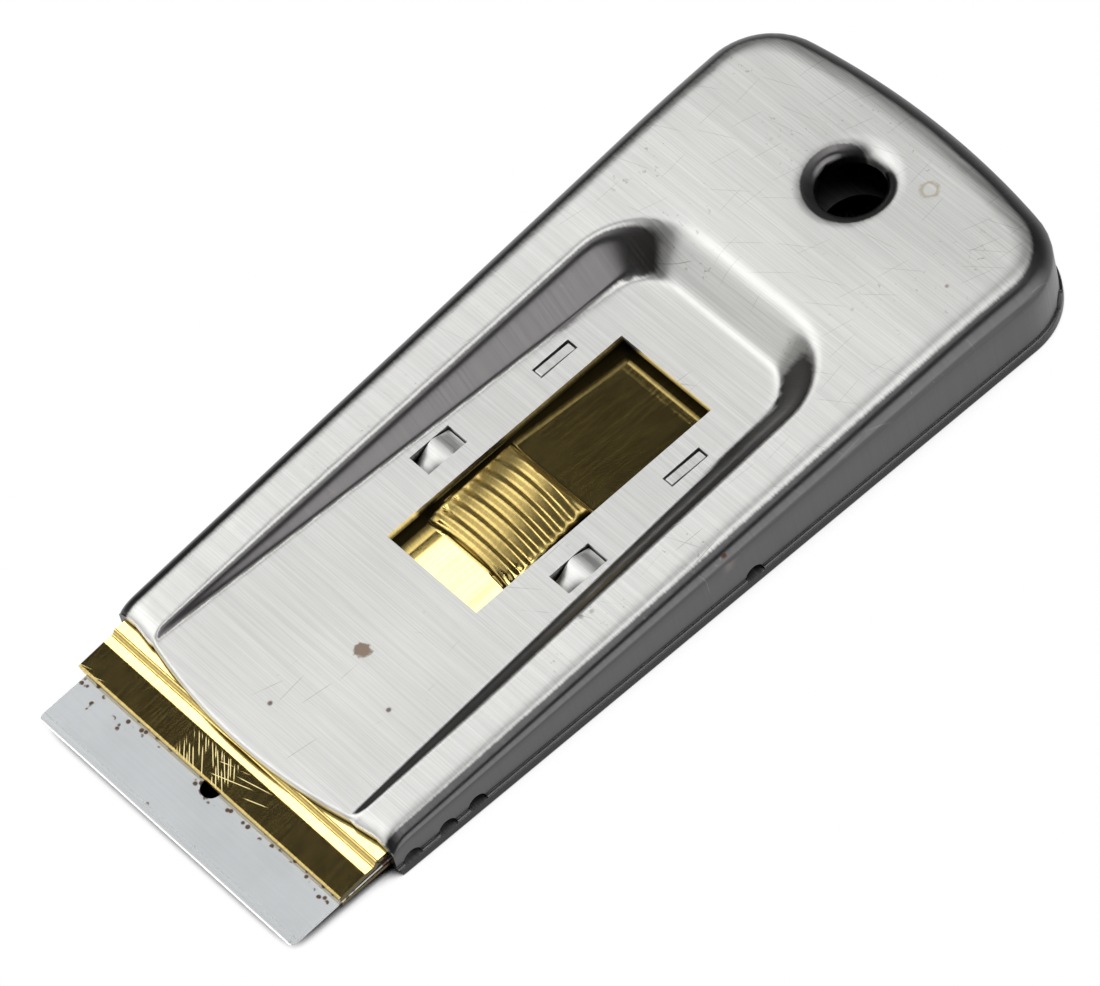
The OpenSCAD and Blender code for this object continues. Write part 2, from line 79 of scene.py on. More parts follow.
# Path lengths at which the wall's side, its corner arc and half of its rear arc end
SIDE_END = CORNER_Y - CORNER_R * math.sin(SIDE_ANGLE)
CORNER_END = SIDE_END + CORNER_R * (math.pi / 2 - REAR_TURN + SIDE_ANGLE)
REAR_END = CORNER_END + REAR_R * REAR_TURN

# Front edge of the shell: bow of the panel, slant of the noses, and where one turns into the other
BOW_OUT, BOW_R, NOSE_OUT, NOSE_SLANT, NOSE_X = 1.95, 63.4, 0.35, 0.157, 15.1
NOSE_FROM, NOSE_TO, NOSE_BLEND = 14.6, 15.4, 0.2

# Edges sharper than the first angle stay sharp, and those sharper than the second get a worn edge
SHARP_ANGLE, CUT_ANGLE = math.radians(38), math.radians(50)

# Stage, in metres; each lamp has its direction, width and depth, brightness, and the way its width runs
FLOOR_R, FLOOR_Z, RINGS, SPOKES = 3.0, -0.0002, 24, 64
LAMP_DISTANCE = 1.6
LAMPS = {
    "strip": ((-0.493, 0.23, 0.839), (1.3, 0.21), 3.8, (-0.87, -0.156, -0.468)),
    "strip_right": ((0.219, 0.085, 0.97), (0.9, 0.66), 3.2, (-0.95, -0.05, 0.22)),
    "front_box": ((-0.58, -0.26, 0.77), (1.4, 0.74), 1.8, (-0.80, 0.1, -0.59)),
    "nose_box": ((-0.493, -0.53, 0.69), (0.8, 0.35), 1.4, (-0.87, 0.2, -0.468)),
    "low_box": ((-0.50, -0.753, 0.435), (1.2, 1.0), 0.75, (-0.87, 0.4, -0.3)),
    "side_box": ((0.887, 0.272, 0.373), (1.9, 1.3), 2.2, (-0.27, 0.95, 0.0)),
}
AIM = Vector((1.777, WINDOW_Y - 1.579, PANEL_Z)) * MM


def length(name, description, size):
    """A size in metres, given in millimetres."""
    return bpy.props.FloatProperty(
        name=name, description=description, default=size * MM, unit="LENGTH", precision=5)


def angle(name, description, degrees):
    """An angle, given in degrees."""
    return bpy.props.FloatProperty(
        name=name, description=description, default=math.radians(degrees), subtype="ANGLE")


def colour(name, description, value):
    """A colour, linear red, green and blue."""
    return bpy.props.FloatVectorProperty(
        name=name, description=description, default=value, size=3, subtype="COLOR", min=0, max=1)


class ScraperShell(bpy.types.PropertyGroup):
    """Sizes of the drawn steel shell."""

    sheet: length("Sheet", "Thickness of the panel", 1.0)
    wall: length("Wall", "Thickness of the drawn walls and the rims", 0.75)
    foot_r: length("Foot radius", "Fillet where the recess wall meets the panel", 1.1)
    crest_r: length("Crest radius", "Rounding where the recess wall meets the rim", 2.3)
    edge_front: length("Front edge drop", "Height of the rim's outer edge rounding at the front", 1.0)
    edge_rear: length("Rear edge drop", "Height of the rim's outer edge rounding at the rear", 2.6)
    reach_front: length("Front edge reach", "Width of the rim's outer edge rounding at the front", 2.5)
    reach_rear: length("Rear edge reach", "Width of the rim's outer edge rounding at the rear", 3.8)
    nose_len: length("Nose length", "Length of the rounded front end of the rims", 2.2)
    nose_drop: length("Nose drop", "Drop of the rims over their rounded front end", 1.05)
    roll_len: length("Roll length", "Length of the rolled front edge of the panel", 0.4)
    roll_drop: length("Roll drop", "Drop of the rolled front edge of the panel", 0.4)
    bevel: length("Cut edge", "Width of the worn edge along every cut", 0.06)


class ScraperSlide(bpy.types.PropertyGroup):
    """Sizes of the brass slide."""

    sheet: length("Sheet", "Thickness of the brass", 0.6)
    side_h: length("Side height", "Height of the button's sides above the leaf, at its middle", 0.75)
    side_rise: length("Side rise", "Growth of the sides from the first rib to the last", 0.8)
    arch_h: length("Arch height", "Height of the arch across the button, at its middle", 1.5)
    arch_rise: length("Arch rise", "Growth of the arch from the first rib to the last", 1.2)
    shoulder: length("Shoulder drop", "Drop of the rounded sides of the flat before the button", 0.5)
    rib_pitch: length("Rib pitch", "Spacing of the ribs", 1.45)
    rib_depth: length("Rib depth", "Depth of the valleys between the ribs", 0.31)
    ribs: bpy.props.IntProperty(
        name="Ribs", description="Number of ribs on the button", default=7, min=3, max=12)
    bevel: length("Cut edge", "Width of the worn edge along every cut", 0.09)


class ScraperFinish(bpy.types.PropertyGroup):
    """Colours of the finishes."""

    brushed: colour("Brushed steel", "Top faces of the shell", (0.76, 0.76, 0.74))
    # Painted shade: the outer walls, also left unbrushed, are painted near black for the dark they reflect.
    drawn: colour("Drawn steel", "Outer walls, which the brush did not reach", (0.10, 0.098, 0.10))
    # Painted shade: the recess side walls are painted dark for the shade and dark reflections on them.
    sunk: colour("Sunk steel", "Side walls of the recess, also not brushed", (0.14, 0.135, 0.135))
    worn: colour("Worn steel", "Scratches and pits in the steel", (0.22, 0.20, 0.18))
    rust: colour("Rust", "Small rust spots", (0.16, 0.085, 0.05))
    stain: colour("Stain", "Brown stain on the panel", (0.20, 0.12, 0.07))
    ring: colour("Ring", "Pale ring of a stain beside the hang hole", (0.42, 0.34, 0.20))
    plate: colour("Plate steel", "Back plate", (0.50, 0.51, 0.52))
    # Painted shade: the back plate's cut sides are painted near black for the shade along them.
    plate_side: colour("Plate side", "Cut sides of the back plate", (0.025, 0.025, 0.026))
    brass: colour("Brass", "Blade carrier", (0.83, 0.63, 0.22))
    rubbed: colour("Rubbed brass", "Bright scratches on the lip", (1.0, 0.86, 0.45))
    blade: colour("Blade steel", "Blade", (0.55, 0.57, 0.58))
    ground: colour("Ground steel", "Bevel of the blade", (0.46, 0.475, 0.48))
    # Painted highlight: a near-white line along the blade's cutting edge stands for its glint.
    edge: colour("Cutting edge", "Bright line along the blade's edge", (0.95, 0.95, 0.95))


class ScraperStage(bpy.types.PropertyGroup):
    """Camera and light."""

    azimuth: angle("Azimuth", "Camera direction", 61.106)
    elevation: angle("Elevation", "Camera height", 55.726)
    roll: angle("Roll", "Camera roll", -16.206)
    distance: length("Distance", "Camera distance from the panel", 800.0)
    lens: bpy.props.FloatProperty(
        name="Lens", description="Focal length in millimetres", default=267.38, min=1)
    floor: colour("Floor", "Pale floor", (0.86, 0.86, 0.86))


def smooth(low, high, v):
    """0 below low, 1 above high and the cubic 3t^2 - 2t^3 between them."""
    t = np.clip((v - low) / (high - low), 0.0, 1.0)
    return t * t * (3.0 - 2.0 * t)


def soft_max(a, b, k):
    """The larger of a and b, plus a parabola of height k/4 where they are closer than k."""
    h = np.maximum(k - np.abs(a - b), 0.0) / k
    return np.maximum(a, b) + h * h * k / 4.0


def soft_min(a, b, k):
    """The smaller of a and b, less a parabola of height k/4 where they are closer than k."""
    return -soft_max(-np.asarray(a), -np.asarray(b), k)


def lines(breaks, steps):
    """Grid lines through every break, evenly spaced between two breaks by at most that stretch's step."""
    parts = [np.linspace(a, b, max(1, math.ceil((b - a) / s - 1e-6)) + 1)[:-1]
             for a, b, s in zip(breaks[:-1], breaks[1:], steps)]
    return np.concatenate(parts + [[breaks[-1]]])


def both_ways(half):
    """Grid lines that start at 0, with their mirror image before them."""
    return np.concatenate([-half[:0:-1], half])


def unit(vectors):
    """Vectors scaled to length 1."""
    return vectors / np.linalg.norm(vectors, axis=-1, keepdims=True)


def stack(*grids):
    """The points of several grids as one list."""
    return np.concatenate([grid.reshape(-1, 3) for grid in grids])


def with_height(plan, z):
    """Points from their plan and their height."""
    return np.concatenate([plan, z[..., None]], -1)


def grid_faces(ids):
    """Quads of a grid of vertex numbers: each cell's four corners in turn."""
    return np.stack([ids[:-1, :-1], ids[1:, :-1], ids[1:, 1:], ids[:-1, 1:]], -1).reshape(-1, 4)


def numbers(grid, start=0):
    """Vertex numbers of a grid of points, counted from a start."""
    return start + np.arange(grid.size // 3).reshape(grid.shape[:2])


def thicken(outer, inner, faces):
    """Closed sheet: the outer faces, the inner ones turned over, and a quad along every edge that only
    one face has."""
    n = len(outer)
    start, end = faces.ravel(), np.roll(faces, -1, 1).ravel()
    free = ~np.isin(start * n + end, end * n + start)
    a, b = start[free], end[free]
    return np.concatenate([outer, inner]), np.concatenate(
        [faces, faces[:, ::-1] + n, np.stack([b, a, a + n, b + n], -1)])


def add_object(name, data):
    """A new object in the scene."""
    thing = bpy.data.objects.new(name, data)
    bpy.context.scene.collection.objects.link(thing)
    return thing


def make_piece(name, parts, material, body, node, bevel, marks=None):
    """One mesh object from (points in millimetres, quads) parts, smooth but for its sharp edges,
    riding on a body. Its grain map runs along y, leaning with height by grain_lean."""
    grain_lean = 0.3
    offsets = np.cumsum([0] + [len(p) for p, _ in parts])
    points = np.concatenate([p for p, _ in parts]) * MM
    faces = np.concatenate([f + o for (_, f), o in zip(parts, offsets)])
    mesh = bpy.data.meshes.new(name)
    mesh.vertices.add(len(points))
    mesh.vertices.foreach_set("co", points.ravel())
    mesh.loops.add(faces.size)
    mesh.loops.foreach_set("vertex_index", faces.ravel())
    mesh.polygons.add(len(faces))
    mesh.polygons.foreach_set("loop_start", np.arange(len(faces)) * 4)
    mesh.update(calc_edges=True)
    mesh.validate()
    for key, values in (marks or {}).items():
        mark = mesh.attributes.new(key, "FLOAT", "POINT")
        mark.data.foreach_set("value", values.astype(np.float32))
    grain = mesh.uv_layers.new(name="grain")
    loops = np.empty(len(mesh.loops), np.int32)
    mesh.loops.foreach_get("vertex_index", loops)
    uv = points[:, [1, 0]] + grain_lean * points[:, 2:]
    grain.data.foreach_set("uv", uv[loops].astype(np.float32).ravel())
    mesh.shade_smooth()
    mesh.set_sharp_from_angle(angle=SHARP_ANGLE)
    mesh.materials.append(material)
    piece = add_object(name, mesh)
    edge = piece.modifiers.new("cut_edge", "BEVEL")
    edge.width, edge.segments, edge.limit_method, edge.angle_limit = bevel, 2, "ANGLE", CUT_ANGLE
    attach(piece, body)
    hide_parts(node)


# Shell


def side_x(y):
    """Half width of the shell: a straight taper along y."""
    return FRONT_HALF + SLOPE * (y - FRONT_Y)


def front_edge(x):
    """Front edge in plan: a shallow arc across the panel that turns into a slant across each rim."""
    bow = FRONT_Y - BOW_OUT + x * x / (2 * BOW_R)
    nose = FRONT_Y - NOSE_OUT + NOSE_SLANT * (np.abs(x) - NOSE_X)
    w = smooth(NOSE_FROM, NOSE_TO, np.abs(x))
    return bow * (1 - w) + nose * w


def rim_z(y):
    """Rim height: a straight rise from the front to APEX_Y, level behind it, eased where the two meet."""
    slope, ease = (REAR_RISE - FRONT_RISE) / (APEX_Y - FRONT_Y), 0.3
    return PANEL_Z + REAR_RISE + soft_min(slope * (y - APEX_Y), 0.0, ease)


def front_roll(x, y, s, inner):
    """Drop towards the front edge: most of a quarter ellipse, short on the panel and long on the rims.
    The inner face of the sheet follows it on the rims only."""
    most = 0.93
    on_rim = smooth(NOSE_FROM - NOSE_BLEND, NOSE_TO + NOSE_BLEND, np.abs(x))
    run = s["roll_len"] + (s["nose_len"] - s["roll_len"]) * on_rim
    drop = s["roll_drop"] + (s["nose_drop"] - s["roll_drop"]) * on_rim
    t = np.clip(1 - (y - front_edge(x)) / run, 0, most)
    return drop * (1 - np.sqrt(1 - t * t)) * (on_rim if inner else 1.0)


def panel_gap(x, y):
    """Signed distance outside the panel's outline: a tapered strip with rounded rear corners."""
    run = PANEL_REAR_Y - PANEL_R
    taper = (PANEL_FRONT_HALF - PANEL_REAR_HALF) / (run - FRONT_Y)
    side = (np.abs(x) - PANEL_REAR_HALF - taper * (run - y)) * math.cos(math.atan(taper)) + PANEL_R
    rear = y - PANEL_REAR_Y + PANEL_R
    return (np.hypot(np.maximum(side, 0), np.maximum(rear, 0))
            + np.minimum(np.maximum(side, rear), 0) - PANEL_R)


def top_z(x, y, s, inner=False):
    """Height of the pressed top: the lower of the rim and the recess cone, which starts at the flat panel,
    less the roll of the front edge. The crest's rounding takes up at most a share of the rim's rise."""
    slope, crest_share = math.tan(RECESS_ANGLE), 0.85
    ease = math.tan(RECESS_ANGLE / 2) * slope
    rim = rim_z(y)
    bowl = soft_max(PANEL_Z, PANEL_Z + slope * panel_gap(x, y), s["foot_r"] * ease)
    form = soft_min(rim, bowl, np.minimum(s["crest_r"] * ease, crest_share * (rim - PANEL_Z)))
    return form - front_roll(x, y, s, inner)


def top_normal(x, y, s, inner=False):
    """Unit normal of the pressed top, from central differences of its height."""
    h = 0.02
    gx = (top_z(x + h, y, s, inner) - top_z(x - h, y, s, inner)) / (2 * h)
    gy = (top_z(x, y + h, s, inner) - top_z(x, y - h, s, inner)) / (2 * h)
    return unit(np.stack([-gx, -gy, np.ones_like(gx)], -1))


def outline(t):
    """Right half of the wall's plan by path length: straight side, corner arc, then the rear's wide arc.
    Gives the points and their outward normals."""
    turn = np.clip((t - SIDE_END) / CORNER_R - SIDE_ANGLE, -SIDE_ANGLE, math.pi / 2 - REAR_TURN)
    turn = turn + np.maximum(t - CORNER_END, 0) / REAR_R
    normal = np.stack([np.cos(turn), np.sin(turn)], -1)
    arc = np.array([CORNER_X, CORNER_Y]) + CORNER_R * normal
    side = np.stack([side_x(t), t], -1)
    rear = np.array([0.0, REAR_MID_Y]) + REAR_R * normal
    point = np.where((t < SIDE_END)[:, None], side, np.where((t > CORNER_END)[:, None], rear, arc))
    return point, normal


class ShellGrid:
    """Grid lines of the shell: a middle block of straight lines and a band round it to the walls.
    Lines closer than same are one."""

    block_x, block_y, start_y, turn_y = 12.0, REAR_Y - 4.27, FRONT_Y + 0.75, REAR_Y - 18
    corner_turn = math.radians(55)
    hole_half, front_rows, same = 5.85, 12, 0.012
    front = (np.arange(front_rows) / front_rows) ** 1.7

    def __init__(self):
        notch = NOTCH_R * both_ways(np.array([0, 0.4, 0.75, 0.93, 1, 1.03]))
        self.corner_t = SIDE_END + CORNER_R * (self.corner_turn + SIDE_ANGLE)
        self.stretch = (self.corner_t - self.turn_y) / (self.block_y - self.turn_y)
        self.corner_notch_t = SIDE_END + CORNER_R * (CORNER_NOTCH + SIDE_ANGLE)
        self.x = both_ways(lines(
            [0, self.hole_half, WINDOW_HALF_X, TONGUE_X, TONGUE_X + NARROW_W, TONGUE_X + WIDE_W,
             self.block_x], [0.7, 0.5, 0.8, 0.75, 0.75, 0.2]))
        y = lines([self.start_y, WINDOW_Y - WINDOW_HALF_Y, WIDE_FRONT, WIDE_REAR, NARROW_FRONT, NARROW_REAR,
                   WINDOW_Y + WINDOW_HALF_Y, REAR_Y - 32, REAR_Y - 22, HOLE_Y - self.hole_half,
                   HOLE_Y + self.hole_half, self.block_y],
                  [0.8, 0.8, 0.75, 0.8, 0.75, 0.8, 0.7, 0.3, 0.75, 0.7, 0.25])
        corner = self.turn_y + (self.corner_notch_t + notch - self.turn_y) / self.stretch
        extra = np.concatenate([c + notch for c in NOTCHES] + [corner])
        near = np.abs(extra[:, None] - y[None, :]).min(1) < self.same
        self.y = np.sort(np.concatenate([y, extra[~near]]))

    def path_t(self, y):
        """Path length on the outline that belongs to a line of the block's side."""
        return np.where(y < self.turn_y, y, self.turn_y + (y - self.turn_y) * self.stretch)


def notch_floor(t, grid):
    """Lower edge of the wall: the plate's top, raised to a circular arch at each notch."""
    centres = np.array(NOTCHES + (grid.corner_notch_t,))
    d = np.abs(t[:, None] - centres).min(1)
    arch = NOTCH_RISE + np.sqrt(np.maximum(NOTCH_R ** 2 - d * d, 0))
    return PLATE_T + np.where(d <= NOTCH_R * 1.01, arch, 0.0)


def shell_middle(grid, s):
    """Block of the top on straight lines, with the first rows drawn forward to the curved front edge.
    Gives the points of both faces, their normals, the vertex numbers and the quads outside the openings."""
    edge = front_edge(grid.x)[:, None]
    y = np.concatenate([edge + (grid.start_y - edge) * grid.front[None, :],
                        np.repeat(grid.y[None, :], len(grid.x), 0)], 1)
    x = np.repeat(grid.x[:, None], y.shape[1], 1)
    points = np.stack([x, y, top_z(x, y, s)], -1)
    ids = numbers(points)
    faces = grid_faces(ids)
    mid = points.reshape(-1, 3)[faces].mean(1)
    ax, my = np.abs(mid[:, 0]), mid[:, 1]
    hole = grid.hole_half
    cut = ((ax < WINDOW_HALF_X) & (np.abs(my - WINDOW_Y) < WINDOW_HALF_Y)
           | (ax > TONGUE_X) & (ax < TONGUE_X + WIDE_W) & (my > WIDE_FRONT) & (my < WIDE_REAR)
           | (ax > TONGUE_X) & (ax < TONGUE_X + NARROW_W) & (my > NARROW_FRONT) & (my < NARROW_REAR)
           | (ax < hole) & (np.abs(my - HOLE_Y) < hole))
    base = np.stack([x, y, top_z(x, y, s, True)], -1)
    return points, base, top_normal(x, y, s), top_normal(x, y, s, True), ids, faces[~cut]


def shell_band(grid, points, ids, s):
    """Band from the block to the outline, over the rounded edge, down the wall and out along the bead.
    One column per line that reaches the block's left, rear and right side; rows follow the profile.
    Gives the block's vertices it starts from, both faces, their normals and each row's painted shade mark."""
    n_side, n_rear = ids.shape[1], len(grid.x) - 2
    rows_top, rows_edge, rows_wall, rows_bead = 30, 12, 4, 6
    fade = [0.75, 0.5, 0.25, 0.1]
    lowest, bead_room, bead_round, tuck, tuck_h = 0.06, 0.22, 0.16, 0.08, 0.1
    t_side = grid.path_t(points[-1, :, 1])
    p_side, n_side_out = outline(t_side)
    share = np.append(grid.front, np.ones(n_side - grid.front_rows))
    front_y = front_edge(np.array(FRONT_HALF)) * (1 - share) + grid.start_y * share
    in_front = np.arange(n_side) < grid.front_rows
    p_side[in_front] = np.stack([side_x(front_y), front_y], -1)[in_front]
    t_side = np.where(in_front, front_y, t_side)
    x_rear = grid.x[-2:0:-1]
    t_rear = grid.corner_t + (grid.block_x - x_rear) * ((REAR_END - grid.corner_t) / grid.block_x)
    right = x_rear >= 0
    t_fold = np.where(right, t_rear, t_rear[::-1])
    p_rear, n_rear_out = outline(t_fold)
    flip = np.where(right, 1.0, -1.0)[:, None] * np.array([1.0, 0.0]) + np.array([0.0, 1.0])
    p_rear, n_rear_out = p_rear * flip, n_rear_out * flip
    mirror = np.array([-1.0, 1.0])
    wall = np.concatenate([p_side, p_rear, p_side[::-1] * mirror])
    out = np.concatenate([n_side_out, n_rear_out, n_side_out[::-1] * mirror])
    floor = notch_floor(np.concatenate([t_side, t_fold, t_side[::-1]]), grid)
    root_ids = np.concatenate([ids[-1, :], ids[-2:0:-1, -1], ids[0, ::-1]])
    root = points.reshape(-1, 3)[root_ids]

    grow = np.clip((wall[:, 1] - FRONT_Y) / (CORNER_Y - FRONT_Y), 0, 1)
    r = (s["edge_front"] + (s["edge_rear"] - s["edge_front"]) * grow)[:, None]
    reach = (s["reach_front"] + (s["reach_rear"] - s["reach_front"]) * grow)[:, None]
    rim = wall - out * reach
    k = np.arange(1, rows_top + 1) / rows_top
    plan = root[:, None, :2] + (rim - root[:, :2])[:, None, :] * k[None, :, None]
    lead = np.concatenate([share, np.ones(n_rear), share[::-1]])[:, None]
    drawn = front_edge(plan[..., 0]) * (1 - lead) + grid.start_y * lead
    plan[..., 1] = np.where(lead < 1, drawn, plan[..., 1])
    x, y = plan[..., 0], plan[..., 1]
    top, under = (with_height(plan, top_z(x, y, s, inner)) for inner in (False, True))
    top_n, under_n = (top_normal(x, y, s, inner) for inner in (False, True))

    turn = np.linspace(math.pi / 2, 0, rows_edge + 1)[1:]
    z_rim = top[:, -1, 2][:, None]
    rim_y = plan[:, -1, 1] + out[:, 1] * reach[:, 0]
    wall = np.stack([wall[:, 0], np.where(lead[:, 0] < 1, rim_y, wall[:, 1])], -1)
    edge_plan = wall[:, None, :] - out[:, None, :] * (reach * (1 - np.cos(turn)))[..., None]
    edge = with_height(edge_plan, z_rim - r * (1 - np.sin(turn)))
    edge_n = with_height(out[:, None, :] * np.cos(turn)[None, :, None],
                         np.broadcast_to(np.sin(turn), edge.shape[:2]))

    low = np.maximum(floor + lowest, PLATE_T + BEAD_H + bead_room)[:, None]
    fall = np.arange(1, rows_wall + 1) / rows_wall
    z_wall = edge[:, -1, 2][:, None] * (1 - fall) + low * fall
    fall = np.arange(1, rows_bead + 1) / rows_bead
    z_bead = low * (1 - fall) + floor[:, None] * fall
    z_low = np.concatenate([z_wall, z_bead], 1)
    above = z_low - PLATE_T
    push = BEAD_OUT * smooth(BEAD_H + bead_round, BEAD_H, above) - tuck * smooth(tuck_h, 0.0, above)
    side = with_height(np.broadcast_to(wall[:, None, :], z_low.shape + (2,)), z_low)
    side_n = np.broadcast_to(np.append(out, np.zeros((len(out), 1)), 1)[:, None, :], side.shape)
    outer = np.concatenate([top, edge, side + side_n * push[..., None]], 1)
    normal = np.concatenate([top_n, edge_n, side_n], 1)
    inner_n = np.concatenate([under_n, edge_n, side_n], 1)
    base = np.concatenate([under, edge, side], 1)
    # Painted shade mark: 1 on the top rows, fading over the edge to 0 down the wall and bead; it picks the
    # recess's shade colour over the outer walls' darker one.
    sunk = np.repeat([1.0, 0.0], [rows_top, rows_edge + rows_wall + rows_bead])
    sunk[rows_top:rows_top + len(fade)] = fade
    return root_ids, outer, base, normal, inner_n, np.broadcast_to(sunk, outer.shape[:2])


def shell_hole(grid, points, ids, s):
    """Patch from the square round the hang hole to its circle, then a quarter bend and a straight land.
    Rows blend square to circle, then follow the bend's angle, widened by soft, then drop straight down."""
    soft, rows_flat, rows_bend = 0.85, 6, 10
    i = np.flatnonzero(np.abs(grid.x) <= grid.hole_half + 1e-6)
    j = np.flatnonzero(np.abs(grid.y - HOLE_Y) <= grid.hole_half + 1e-6) + grid.front_rows
    block = ids[i[0]:i[-1] + 1, j[0]:j[-1] + 1]
    loop = np.concatenate([block[:-1, 0], block[-1, :-1], block[:0:-1, -1], block[0, :0:-1]])
    start = points.reshape(-1, 3)[loop][:, None, :]
    around = np.arctan2(start[..., 1] - HOLE_Y, start[..., 0])
    ray = np.stack([np.cos(around), np.sin(around)], -1)
    centre = np.array([0.0, HOLE_Y])
    k = (np.arange(1, rows_flat + 1) / rows_flat)[None, :, None]
    plan = start[..., :2] * (1 - k) + (centre + (HOLE_R + HOLE_BEND + soft) * ray) * k
    flat = with_height(plan, top_z(plan[..., 0], plan[..., 1], s))
    turn = np.linspace(0, math.pi / 2, rows_bend + 1)[None, 1:]
    z0 = flat[:, -1:, 2]
    radius = HOLE_R + (HOLE_BEND + soft) * (1 - np.sin(turn))
    bend = with_height(centre + ray * radius[..., None], z0 - HOLE_BEND * (1 - np.cos(turn)))
    bend_n = with_height(-ray * np.sin(turn)[..., None], np.broadcast_to(np.cos(turn), bend.shape[:2]))
    z_land = z0 - HOLE_BEND - HOLE_LAND * np.array([[0.5, 1.0]])
    land = with_height(np.broadcast_to(centre + ray * HOLE_R, z_land.shape + (2,)), z_land)
    land_n = with_height(np.broadcast_to(-ray, z_land.shape + (2,)), np.zeros(z_land.shape))
    flat_n = np.broadcast_to(np.array([0.0, 0.0, 1.0]), flat.shape)
    return loop, np.concatenate([flat, bend, land], 1), np.concatenate([flat_n, bend_n, land_n], 1)


def tongue(side, width, y_from, y_to, start, gap, waist, drop, crown):
    """Pressed tongue in a slot on one side: a strip that falls by drop(d) and is crowned across by crown(d).
    It leaves a gap on both sides but at its waist. d is the distance from the slot's front end."""
    lead, waist_len, thickness = 0.4, 0.55, 0.85
    y = np.concatenate([np.linspace(y_from, y_from + lead, 9)[:-1],
                        np.linspace(y_from + lead, y_to, 25)])[None, :]
    u = np.linspace(-1, 1, 13)[:, None]
    d = y - y_from + start
    half = width / 2 - gap * (1 - np.exp(-((d - waist) / waist_len) ** 2))
    x = side * (TONGUE_X + width / 2) + u * half
    z = PANEL_Z - drop(d) - crown(d) * u * u
    outer = np.stack([x, np.broadcast_to(y, x.shape), z], -1)
    inner = outer - np.array([0, 0, thickness])
    return thicken(stack(outer), stack(inner), grid_faces(numbers(outer)))


def shell_parts(s):
    """The whole shell: block, band and hole patch welded along shared vertices and given thickness, and
    the tongues. Faces that look up or to the front, which the brush reached, keep the bright colour, further
    round on the outer edge than in the recess; the rest are painted dark as shade."""
    grid = ShellGrid()
    points, under, normal, inner_n, ids, faces = shell_middle(grid, s)
    root, outer, base, band_n, band_inner_n, sunk = shell_band(grid, points, ids, s)
    loop, hole, hole_n = shell_hole(grid, points, ids, s)
    n_block, n_band = points.size // 3, outer.size // 3
    band_ids = np.concatenate([root[:, None], numbers(outer, n_block)], 1)
    hole_ids = np.concatenate([loop[:, None], numbers(hole, n_block + n_band)], 1)
    hole_ids = np.concatenate([hole_ids, hole_ids[:1]])
    faces = np.concatenate([faces, grid_faces(band_ids)[:, ::-1], grid_faces(hole_ids)])
    out, inside = stack(points, outer, hole), stack(under, base, hole)
    n, inner_n = stack(normal, band_n, hole_n), stack(inner_n, band_inner_n, hole_n)
    near_panel = smooth(0.9, -0.4, panel_gap(out[:, 0], out[:, 1]))
    near_hole = smooth(8.0, 7.0, np.hypot(out[:, 0], out[:, 1] - HOLE_Y))
    thick = s["wall"] + (s["sheet"] - s["wall"]) * np.maximum(near_panel, near_hole)
    parts = [thicken(out, inside - inner_n * thick[:, None], faces)]
    sunk = np.concatenate([np.ones(n_block), sunk.ravel(), np.ones(hole.size // 3)])
    # Painted shade: faces that look up or to the front keep the bright colour and the rest are painted dark;
    # the recess needs a more upward face than the outer edge.
    reach = np.hypot(n[:, 2], np.minimum(n[:, 1], 0))
    brushed = smooth(0.77 + 0.10 * sunk, 0.94 + 0.04 * sunk, reach)
    for side in (-1, 1):
        parts.append(tongue(
            side, WIDE_W, WIDE_FRONT + 0.2, WIDE_REAR - 0.15, start=0.2, gap=0.15, waist=2.95,
            drop=lambda d: 1.25 * smooth(2.85, -0.35, d) + 0.55 * smooth(3.05, 5.55, d),
            crown=lambda d: 0.05 + 0.22 * smooth(2.65, 0.85, d)))
        parts.append(tongue(
            side, NARROW_W, NARROW_FRONT - 0.02, NARROW_REAR - 0.2, start=-0.02, gap=0.23, waist=-9.0,
            drop=lambda d: 0.05 + 0.18 * d / 4.9 + 0.6 * np.exp(-((d + 0.02) / 0.13) ** 2),
            crown=lambda d: 0.03))
    inner = np.zeros(len(out))
    rest = np.ones(sum(len(p) for p, _ in parts) - 2 * len(out))
    return parts, {name: np.concatenate([mark, inner, rest])
                   for name, mark in (("brushed", brushed), ("sunk", sunk))}


# Brass slide


def slide_profile(y):
    """Height of the slide along y: a polyline through its bends, averaged by a narrow bell curve that
    rounds them."""
    far, step, reach, width, fall = -60, 0.01, 40, 9.0, 0.9
    groove_y, low = STEP_Y - 1.3, LEAF_Z - fall
    lip = (GROOVE_Z - LIP_Z) / (groove_y - LIP_Y)
    bends = [(far, GROOVE_Z - lip * (groove_y - far)), (groove_y, GROOVE_Z), (STEP_Y, GROOVE_Z),
             (STEP_Y + 0.25, RIDGE_Z), (STEP_Y + 2.7, RIDGE_Z), (STEP_Y + 3.6, LEAF_Z),
             (BUTTON_REAR, LEAF_Z), (BEND_Y - 0.2, low), (BEND_Y, low - 0.002), (BEND_Y + 2.2, low - 0.10),
             (BEND_Y + 4.2, FOOT_Z + 0.6), (TAIL_Y + 5, FOOT_Z + 0.6)]
    fine = np.arange(LIP_Y - 2, TAIL_Y + 2, step)
    bell = np.exp(-0.5 * (np.arange(-reach, reach + 1) / width) ** 2)
    path = np.pad(np.interp(fine, *zip(*bends)), reach, mode="edge")
    return np.interp(y, fine, np.convolve(path, bell / bell.sum(), mode="valid"))


